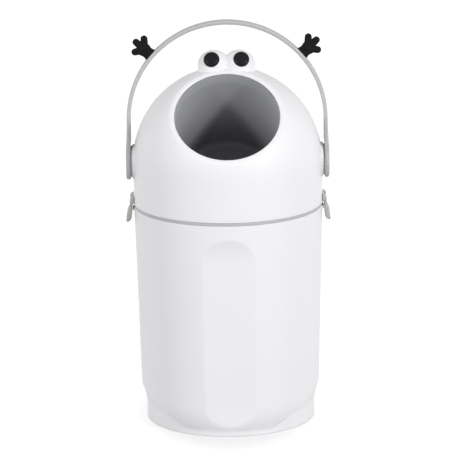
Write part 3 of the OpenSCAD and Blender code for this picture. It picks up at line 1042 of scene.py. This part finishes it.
@dataclass
class Eyes:
    """Double bump on top of the dome, with a glossy domed button in each half."""

    radius: float = 20.6
    bump_x: float = 18.0
    bump_half: float = 22.9
    gap: float = 40.6
    back: float = 8.0
    rise: float = 138.4
    centre_drop: float = 6.0
    column: float = 24.0
    valley: float = 3.0
    foot_r: float = 132.4
    look_up: float = math.radians(34.0)
    look_out: float = math.radians(3.2)
    button_r: float = 11.4
    button_rim: float = 4.2
    button_deep: float = 7.0
    crown_r: float = 30.0
    crown_at: float = 23.7

    def blob(self) -> Piece:
        """Two bumps that run into each other, as one star-shaped surface.

        In a space squeezed along X so that each bump becomes round, each direction's distance is the
        soft maximum of where it leaves the two upright round-topped columns. The squeeze is then undone.

        Returns:
            The piece.
        """
        rays = sphere_rays(220, 280)[..., [2, 0, 1]]
        squeeze = self.radius / self.bump_half
        reach = []
        for side in Side:
            top = np.array([side.value * self.bump_x * squeeze, 0, self.centre_drop])
            foot = top - np.array([0, 0, self.column])
            reach.append(ray_leaves_capsule(rays, foot, top, self.radius, self.radius))
        points = rays * smooth_max(*reach, self.valley)[..., None]
        points[..., 0] /= squeeze
        points += np.array([0.0, self.back, self.rise - self.centre_drop])
        # round foot, hidden inside the dome's wall
        points *= np.maximum(1.0, self.foot_r / np.linalg.norm(points, axis=-1))[..., None]
        points[..., 2] += PIVOT_Z
        return Shell().add_grid(points, wrap_rows=False, wrap_cols=True).build("eye_bumps", 60)

    def button(self, side: Side) -> Piece:
        """Pupil: a turned button with a shallow crown and a well rounded rim.

        Args:
            side: side of the bin.

        Returns:
            The piece.
        """
        s = float(side.value)
        out = np.array([math.sin(self.look_out) * math.cos(self.look_up) * s,
                        -math.cos(self.look_out) * math.cos(self.look_up), math.sin(self.look_up)])
        right = np.cross(out, [0, 0, 1.0])
        right /= np.linalg.norm(right)
        up = np.cross(right, out)
        axes = Axes((s * self.gap / 2, self.back, PIVOT_Z + self.rise), tuple(right), tuple(up), tuple(out))
        corners = [(0.0, 0.0, 0), (self.button_r, 0.0, self.button_rim),
                   (self.button_r, -self.button_deep, 0)]
        face = resampled(rounded(corners, False, 14), 1.2)
        face[:, 1] += self.crown_at - face[:, 0] ** 2 / (2 * self.crown_r)
        profile = np.concatenate([face, [[0.0, face[-1, 1]]]])
        return turned_piece(f"pupil_{side.word}", profile, axes, 96, sharp_degrees=50)

    def make(self, dress: Dresser) -> None:
        """Builds and dresses the eyes.

        Args:
            dress: what finishes the pieces.
        """
        dress.piece(self.blob(), Look.WHITE, "hood", "eye_housing")
        for side in Side:
            dress.piece(self.button(side), Look.PUPIL, "hood", f"eye_pupil_{side.word}")


@dataclass
class Drum:
    """Ball inside the hood, with the cup that the mouth looks into."""

    ball_r: float = 127.5
    wall: float = 2.5
    floor_fillet: float = 9.0
    flare: float = 14.0
    lip_wall: float = 1.1
    groove: float = 0.5
    columns: int = 256

    def arc(self, radius: float, start: float, end: float, steps: int) -> Array:
        """Part of a circle about the ball's middle, by angle from the mouth's axis."""
        polar = np.linspace(start, end, steps)
        return np.c_[radius * np.sin(polar), radius * np.cos(polar)]

    def cup(self) -> Piece:
        """Cup: a wall that flares to a thin lip, and a floor with a broad fillet.

        Returns:
            The piece.
        """
        out_r = CUP_R + self.wall
        lip_h = math.sqrt(self.ball_r**2 - out_r**2)
        low = -CUP_BACK
        outline = rounded(
            [(0, low, 0), (CUP_R, low, self.floor_fillet), (CUP_R, lip_h - self.flare, 30.0),
             (out_r - self.lip_wall, lip_h + 0.6, 0.3), (out_r, lip_h, 0.3),
             (out_r, low - self.wall, 1.0), (0, low - self.wall, 0)], False, 10)
        return turned_piece("cup", resampled(outline, 8.0), MOUTH, self.columns, sharp_degrees=50)

    def front(self) -> Piece:
        """Front of the ball: the zone between the cup's lip and the joint.

        Returns:
            The piece.
        """
        opening = CUP_R + self.wall + 0.1
        outer = self.arc(self.ball_r, math.asin(opening / self.ball_r), math.pi / 2, 30)
        inner_r = self.ball_r - self.wall
        inner = self.arc(inner_r, math.pi / 2, math.asin(opening / inner_r), 30)
        return turned_piece("ball_front", np.concatenate([outer, inner]), MOUTH, self.columns, closed=True)

    def back(self) -> Piece:
        """Back of the ball: a half ball, with a fine groove at the joint.

        Returns:
            The piece.
        """
        inner_r = self.ball_r - self.wall
        outer = self.arc(self.ball_r, math.pi, math.pi / 2 + 0.006, 60)
        groove = np.array([[self.ball_r - self.groove, -0.02]])
        inner = self.arc(inner_r, math.pi / 2, math.pi, 50)
        return turned_piece("ball_back", np.concatenate([outer, groove, inner]), MOUTH, self.columns)

    def make(self, dress: Dresser) -> None:
        """Builds and dresses the drum.

        Args:
            dress: what finishes the pieces.
        """
        dress.piece(self.cup(), Look.DRUM, "drum", "cup_wall", "cup_floor")
        dress.piece(self.front(), Look.DRUM, "drum", "drum_front")
        dress.piece(self.back(), Look.DRUM, "drum", "drum_back")


# ---------------------------------------------------------------- handle and hands


@dataclass
class Handle:
    """Arched carrying handle: a strap over the top, with a round end on each axle."""

    thick: float = 5.8
    width: float = 14.0
    edge_r: float = 1.8
    edge_deep: float = 4.4
    hub_r: float = 26.0
    hub_in: float = 138.2
    hub_out: float = 145.0
    hub_gap: float = 0.15
    hub_dive: float = 1.2
    cap_r: float = 13.98
    cap_deep: float = 1.4

    def half_width(self, z: Array) -> Array:
        """Half of the strap's width at a height on its leg.

        From the strap's own edge, an arc that meets both that edge and the round end leads down to
        where it touches the end. Below, the strap dives into the end and narrows inside it.

        Args:
            z: height above the pivot.

        Returns:
            Half width at each height.
        """
        edge = self.width / 2
        flank = (edge**2 + ARCH_Z**2 - self.hub_r**2) / (2 * (self.hub_r - edge))
        touch = ARCH_Z * self.hub_r / (self.hub_r + flank)
        on_arc = edge + flank - np.sqrt(np.maximum(flank**2 - (ARCH_Z - z) ** 2, 0.0))
        on_hub = np.sqrt(np.maximum(self.hub_r**2 - z**2, 0.0)) - 0.2 * np.maximum(touch - z, 0.0)
        return np.where(z > touch, on_arc, on_hub)

    def strap(self) -> Piece:
        """Strap: one section carried up a leg, over the arch and down the other leg.

        The section is a flat band with rounded outer edges and a set-back inner face. Its width follows
        half_width on the legs, and on the arch it stays as wide as the strap.

        Returns:
            The piece.
        """
        leg = -self.hub_r * np.cos(np.linspace(1.0, math.pi / 2, 20))
        leg = np.concatenate([leg, np.linspace(0.0, ARCH_Z, 34)[1:-1]])
        angle = np.linspace(0.0, math.pi, 121)
        arch = np.c_[np.cos(angle), np.sin(angle)]
        ones = np.ones(len(leg))
        spine = np.concatenate([
            np.c_[HANDLE_OUT * ones, leg], HANDLE_OUT * arch + [0.0, ARCH_Z],
            np.c_[-HANDLE_OUT * ones, leg[::-1]]])
        outward = np.concatenate([np.c_[ones, 0 * ones], arch, np.c_[-ones, 0 * ones]])
        leg_half = self.half_width(leg)
        half = np.concatenate([leg_half, np.full(len(angle), self.width / 2), leg_half[::-1]])
        height = np.concatenate([leg, np.full(len(angle), ARCH_Z), leg[::-1]])
        # beside the hub the inner face is set out, and down the whole leg the outer face swells
        step = self.hub_in - (HANDLE_OUT - self.thick)
        inset = np.clip((self.hub_r + 4 - height) / 8, 0, 1) * step
        share = np.clip((ARCH_Z - height) / (ARCH_Z - 6.0), 0, 1)
        swell = (self.hub_out - self.hub_gap - HANDLE_OUT) * share**2 * (3 - 2 * share)
        # within the disc the strap dives under the disc's face
        swell -= self.hub_dive * np.clip((10.0 - height) / 8.0, 0.0, 1.0)
        # the section: distance in from the edge, and depth below the outer face
        middle = 9.0
        face = rounded([(middle, 0.0, 0), (0.0, 0.0, self.edge_r), (0.0, self.edge_deep, 0)], False, 5)[:-1]
        flank = rounded(
            [(0.0, 0.0, self.edge_r), (0.0, self.edge_deep, 0.5), (1.3, self.edge_deep, 0.4),
             (1.7, self.thick, 0.6), (middle, self.thick, 0)], False, 4)[6:]
        from_edge, depth = np.concatenate([face, flank]).T[:, None]
        across = half[:, None] - np.minimum(from_edge, half[:, None] - 0.05 * from_edge)
        down = np.minimum(depth, self.thick - inset[:, None])
        across = np.concatenate([across, -across[:, ::-1]], 1)
        down = np.concatenate([down, down[:, ::-1]], 1)
        level = down - swell[:, None] * np.clip(1.0 - down / self.thick, 0.0, 1.0)
        x, z = spine.T[..., None] - outward.T[..., None] * level
        shell = Shell().add_tube(np.stack([x, across, z + PIVOT_Z], -1))
        for side in Side:
            seat_r, seat = self.cap_r + 0.1, self.hub_out - self.cap_deep
            disc = rounded(
                [(0, self.hub_in, 0), (self.hub_r, self.hub_in, 2.6), (self.hub_r, self.hub_out, 4.0),
                 (seat_r, self.hub_out, 0.4), (seat_r, seat, 0), (0, seat, 0)], False, 5)
            shell.add_grid(turned(disc, axle_axes(side), 128))
        return shell.build("carrying_handle", 38)

    def cap(self, side: Side) -> Piece:
        """Cap over the handle's screw: a shallow crowned disc, turned about the axle.

        Args:
            side: side of the bin.

        Returns:
            The piece.
        """
        crown = np.linspace(0.0, 1.0, 12)[:, None]
        top = np.c_[(self.cap_r - 0.7) * crown, 0.4 - 0.35 * crown**2]
        rest = [[self.cap_r - 0.2, -0.15], [self.cap_r, -0.5], [self.cap_r, -1.2], [0.0, -1.2]]
        profile = np.concatenate([top, rest]) + [0.0, self.hub_out]
        return turned_piece(f"cap_{side.word}", profile, axle_axes(side), 96, sharp_degrees=50)

    def make(self, dress: Dresser) -> None:
        """Builds and dresses the handle.

        Args:
            dress: what finishes the pieces.
        """
        dress.piece(self.strap(), Look.HANDLE, "drum", "handle")
        for side in Side:
            dress.piece(self.cap(side), Look.HANDLE, "drum", f"hub_cap_{side.word}")


@dataclass
class Hands:
    """Small open hands that stand on the arch."""

    angle: float = math.radians(48.9)
    fingers: tuple[Triple, ...] = ((11.8, 0.0, 21.8), (0.9, 0.0, 27.4), (-11.0, 0.0, 19.4))
    palm: tuple[float, float] = (4.0, 5.8)
    wrist: Triple = (3.6, 0.0, -5.0)
    wrist_r: tuple[float, float] = (5.6, 4.9)
    web: float = 1.2
    knuckle: float = 5.8
    tip: float = 5.0
    palm_z: float = 11.0
    cut_z: float = 2.0
    squareness: float = 0.72

    def axes(self, side: Side) -> Axes:
        """Frame of a hand: z outwards from the arch, x along it towards its top, y across.

        Args:
            side: side of the bin.

        Returns:
            The frame.
        """
        s = float(side.value)
        sine, cosine = math.sin(self.angle), math.cos(self.angle)
        seat = (s * HANDLE_OUT * sine, 0.0, PIVOT_Z + ARCH_Z + HANDLE_OUT * cosine)
        return Axes(seat, (-s * cosine, 0.0, sine), (0.0, 1.0, 0.0), (s * sine, 0.0, cosine))

    def hand(self, side: Side) -> Piece:
        """Hand: palm and three fingers as a star-shaped surface, and the cuff as a flared tube.

        From the middle of the palm, each direction's distance is the largest of where it leaves the
        palm's bar and the two bars down to the wrist, softly joined with each tapered finger.

        Args:
            side: side of the bin.

        Returns:
            The piece.
        """
        middle = np.array([0.0, 0.0, self.palm_z])
        rays = sphere_rays(150, 210)[..., [0, 2, 1]]
        bar = np.array([self.palm[0], 0.0, 0.0])
        reach = ray_leaves_capsule(rays, -bar, bar, self.palm[1], self.palm[1])
        for sign in (-1.0, 1.0):
            wrist = np.array(self.wrist) * [sign, 1.0, 1.0]
            reach = np.maximum(reach, ray_leaves_capsule(rays, bar * sign, wrist, *self.wrist_r))
        for finger in self.fingers:
            end = np.array(finger) - middle
            leave = ray_leaves_capsule(rays, end * 0.05, end, self.knuckle, self.tip)
            reach = smooth_max(reach, leave, self.web)
        points = middle + rays * reach[..., None]
        points[..., 2] = np.maximum(points[..., 2], self.cut_z)
        axes = self.axes(side)
        shell = Shell().add_grid(axes.place(points), wrap_rows=False, wrap_cols=True)
        # cuff: rounded oblongs whose size shrinks from the strap to the wrist
        turn = np.linspace(0.0, 2 * math.pi, 72, endpoint=False)
        oval = [np.sign(wave) * np.abs(wave) ** self.squareness for wave in (np.cos(turn), np.sin(turn))]
        heights = np.array([-0.35, -0.3, 0.3, 1.4, 3.0, 4.6, 5.6, 6.0, 6.1])[:, None]
        wide = np.array([0.0, 8.8, 9.2, 9.2, 8.8, 8.4, 8.2, 7.4, 0.0])[:, None]
        deep = np.array([0.0, 4.8, 5.2, 5.3, 5.1, 4.9, 4.8, 4.3, 0.0])[:, None]
        cuff = np.stack([wide * oval[0], deep * oval[1], heights + 0 * turn], -1)
        # its foot follows the strap's curve
        cuff[..., 2] -= np.where(heights < 1.0, cuff[..., 0] ** 2 / (2 * HANDLE_OUT), 0.0)
        shell.add_grid(axes.place(cuff), wrap_rows=False, wrap_cols=True)
        return shell.build(f"open_hand_{side.word}", 60)

    def make(self, dress: Dresser) -> None:
        """Builds and dresses the hands.

        Args:
            dress: what finishes the pieces.
        """
        for side in Side:
            dress.piece(self.hand(side), Look.HAND, "drum", f"hand_{side.word}")


# ---------------------------------------------------------------- clips


@dataclass
class Clips:
    """Side clips that hold the hood down, and the brackets that they turn in.

    Both are outlines in X and Z that are carried along Y and drawn in a little at each end.
    """

    pin_z: float = 325.5
    width: float = 27.0
    ear: float = 3.4
    ledge: float = 10.4
    ease: float = 0.7
    ease_long: float = 1.2
    rib_x: float = 137.2
    plate_x: float = 139.0

    def clip_outline(self, inner: float) -> Array:
        """Outline of a clip, with its finger lobe flared and every corner eased.

        Args:
            inner: X of the plate's inner face above the hook.

        Returns:
            Points of the outline.
        """
        z = self.pin_z
        return rounded(
            [(136.5, z + 1.2, 1.2), (138.2, z + 2.2, 1.6), (140.1, z + 1.0, 1.8), (140.6, z - 2.0, 4),
             (141.1, z - 15.2, 3), (143.5, z - 18.2, 3), (145.2, z - 25, 9), (146.2, z - 33.4, 1.8),
             (145.6, z - 35.2, 1.2), (141.8, z - 34.6, 3), (138.9, z - 31.4, 5), (137.75, z - 26.6, 4),
             (137.45, z - 20.7, 0.8), (inner, z - 19.4, 0.6), (inner, z - 3.2, 0.6),
             (136.5, z - 1.2, 0.8)], True, 5)

    def bracket_outline(self, along: float) -> Array:
        """Outline of a bracket at a place along Y: it tapers upwards into the hood's side.

        Between its two ears only the bridge above the clip is left of it.

        Args:
            along: place along Y, from the clip's middle.

        Returns:
            Points of the outline.
        """
        z = self.pin_z
        top = z + 4.6 - 1.6 * (abs(along) / (self.width / 2 + self.ear)) ** 2
        if abs(along) > self.width / 2 + 0.2:
            low = [(138.2, z + 1.9, 2), (140.3, z - 0.8, 2), (140.1, z - 4.4, 3), (137.0, z - 7.6, 2),
                   (134.7, z - 8.2, 0.1)]
        else:
            low = [(137.4, z + 3.2, 0.4), (137.6, z + 2.8, 0.2), (137.0, z + 2.6, 0.2),
                   (136.0, z + 2.6, 0.2), (134.7, z + 2.5, 0.1)]
        return rounded([(134.7, top, 0.1), (135.4, top - 0.3, 0.4)] + low, True, 5)

    def carried(self, name: str, side: Side, sections: list[tuple[float, Array]]) -> Piece:
        """Solid through outlines that stand at places along Y, with its two ends eased and closed.

        Args:
            name: the piece's name.
            side: side of the bin.
            sections: place along Y and outline there, from one end to the other.

        Returns:
            The piece.
        """
        s = float(side.value)
        turn = np.linspace(0.0, math.pi / 2, 5)
        eased = [(self.ease_long * (1 - math.cos(a)), self.ease * (1 - math.sin(a))) for a in turn]
        (start, first), (stop, last) = sections[0], sections[-1]
        rows = [(start + along, first, inset) for along, inset in eased]
        rows += [(y, outline, 0.0) for y, outline in sections[1:-1]]
        rows += [(stop - along, last, inset) for along, inset in eased[::-1]]
        grid = []
        for y, outline, inset in rows:
            away = outline - outline.mean(0)
            drawn = outline - away / np.linalg.norm(away, axis=1)[:, None] * inset
            grid.append(np.c_[s * drawn[:, 0], np.full(len(drawn), y), drawn[:, 1]])
        return Shell().add_tube(np.stack(grid)).build(name, 50)

    def clip(self, side: Side) -> Piece:
        """Clip: thin between its two side ribs, so that the catch has room behind it.

        Args:
            side: side of the bin.

        Returns:
            The piece.
        """
        rib, plate = self.clip_outline(self.rib_x), self.clip_outline(self.plate_x)
        end, edge = self.width / 2, self.ledge
        return self.carried(f"side_clip_{side.word}", side, [
            (-end, rib), (-edge, rib), (0.3 - edge, plate), (edge - 0.3, plate), (edge, rib), (end, rib)])

    def bracket(self, side: Side) -> Piece:
        """Bracket: two ears beside the clip, and the tapered bridge that joins them above it.

        Args:
            side: side of the bin.

        Returns:
            The piece.
        """
        gap, out = self.width / 2 + 0.3, self.width / 2 + self.ear + 0.8
        places = [-out, -gap, 0.2 - gap, *np.linspace(-12.0, 12.0, 9), gap - 0.2, gap, out]
        return self.carried(f"bracket_{side.word}", side, [(y, self.bracket_outline(y)) for y in places])

    def make(self, dress: Dresser) -> None:
        """Builds and dresses the clips and their brackets.

        Args:
            dress: what finishes the pieces.
        """
        for side in Side:
            dress.piece(self.clip(side), Look.CLIP, f"clip_{side.word}", f"clip_{side.word}")
            dress.piece(self.bracket(side), Look.CLIP, "hood", f"clip_bracket_{side.word}")


# ---------------------------------------------------------------- studio


@dataclass(frozen=True)
class Lamp:
    """Rectangular area light that faces the bin."""

    name: str
    place: Triple
    power: float
    size: tuple[float, float] = (0.5, 0.7)
    target: Triple = (0.0, 0.0, 0.3)

    def light(self) -> None:
        """Puts the lamp in the scene."""
        data = bpy.data.lights.new(self.name, "AREA")
        data.shape = "RECTANGLE"
        data.size, data.size_y = self.size
        data.energy = self.power
        lamp = put_in_scene(self.name, data)
        lamp.location = self.place
        beam = Vector(self.target) - Vector(self.place)
        lamp.rotation_euler = beam.to_track_quat("-Z", "Y").to_euler()


@dataclass
class Studio:
    """Pale floor, soft light from both sides, and the camera."""

    tilt: float = math.radians(14.1)
    aim_z: float = 0.2764
    distance: float = 6.563
    lens: float = 361.3
    sensor: float = 36.0
    shift: float = -0.0013
    roll: float = math.radians(-0.75)
    even_light: float = 0.5
    side_light: float = 0.84
    top_light: float = -0.55
    half_floor: float = 30.0
    floor_colour: tuple[float, float, float, float] = (0.4, 0.4, 0.41, 1)
    # painted shadow round the foot: the oval's half reaches in X and Y, its soft edge, and the glow inside
    # and outside it
    halo: tuple[float, float] = (0.157, 0.26)
    halo_edge: tuple[float, float] = (0.5, 1.05)
    glow_near: float = 0.51
    glow_far: float = 0.84
    lamps: tuple[Lamp, ...] = (Lamp("left_box", (-2.55, -2.81, 1.83), 45.0),
                               Lamp("right_box", (2.55, -2.81, 1.83), 78.0))

    def floor(self) -> None:
        """Floor: a white sheet that shows as background white and keeps the bin's soft shadow.

        What the camera sees of it also glows, less within an oval round the foot than outside, which paints
        a soft shadow round the foot.
        """
        mesh = bpy.data.meshes.new("floor")
        half = self.half_floor
        corners = [(-half, -half, 0), (half, -half, 0), (half, half, 0), (-half, half, 0)]
        mesh.from_pydata(corners, [], [(0, 1, 2, 3)])
        obj = put_in_scene("floor", mesh)
        mat = bpy.data.materials.new("floor_white")
        mat.use_nodes = True
        mat.node_tree.nodes.clear()
        wire = Wiring(mat.node_tree)
        diffuse = wire.node("BsdfDiffuse", {"Color": self.floor_colour})
        # painted shadow: the glow is lower within an oval round the foot
        where = wire.axes(wire.place("Object"))
        across, along = [wire.math("POWER", wire.math("DIVIDE", where[axis], reach), 2.0)
                         for axis, reach in zip("XY", self.halo)]
        away = wire.math("SQRT", wire.add(across, along))
        ramp = wire.ramp(away, *self.halo_edge, self.glow_near, self.glow_far, "SMOOTHSTEP")
        glow = wire.node("Emission", {"Strength": wire.times(wire.seen(), ramp)})
        both = wire.node("AddShader")
        wire.put(both.inputs[0], diffuse.outputs[0])
        wire.put(both.inputs[1], glow.outputs[0])
        wire.node("OutputMaterial", {"Surface": both.outputs[0]})
        mesh.materials.append(mat)

    def world(self) -> None:
        """World: a pale light, weaker from above than from the sides, and plain white where it is seen."""
        world = bpy.data.worlds.new("studio")
        bpy.context.scene.world = world
        world.use_nodes = True
        wire = Wiring(world.node_tree)
        way = wire.axes(wire.place("Generated"))
        sideways = wire.times(wire.math("ABSOLUTE", way["X"]), self.side_light)
        upward = wire.times(wire.math("MAXIMUM", way["Z"], 0.0), self.top_light)
        ambient = wire.add(wire.add(sideways, self.even_light), upward)
        level = wire.add(wire.times(wire.seen(), wire.math("SUBTRACT", 1.0, ambient)), ambient)
        back = world.node_tree.nodes["Background"].inputs
        wire.put(back["Color"], (1, 1, 1, 1))
        wire.put(back["Strength"], level)

    def camera(self) -> None:
        """Camera: a long lens a little above the front, looking down by tilt and turned by roll."""
        data = bpy.data.cameras.new("camera")
        data.lens = self.lens
        data.sensor_width = self.sensor
        data.shift_x = self.shift
        data.clip_end = 100.0
        camera = put_in_scene("camera", data)
        back, up = self.distance * math.cos(self.tilt), self.distance * math.sin(self.tilt)
        camera.location = (0.0, -back, self.aim_z + up)
        turn = Matrix.Rotation(math.pi / 2 - self.tilt, 4, "X") @ Matrix.Rotation(self.roll, 4, "Z")
        camera.rotation_euler = turn.to_euler()
        bpy.context.scene.camera = camera

    def make(self) -> None:
        """Builds the studio."""
        self.floor()
        self.world()
        for lamp in self.lamps:
            lamp.light()
        self.camera()
        bpy.context.scene.view_settings.view_transform = "Standard"


def main() -> None:
    """Builds every sub-assembly in order, then the studio."""
    logging.basicConfig(level=logging.INFO, format="%(name)s: %(message)s")
    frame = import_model()
    dress = Dresser(frame)
    dress.nodes()
    for assembly in (Bucket(), Hood(), Eyes(), Drum(), Handle(), Hands(), Clips()):
        assembly.make(dress)
    Studio().make()


if __name__ == "__main__":
    main()
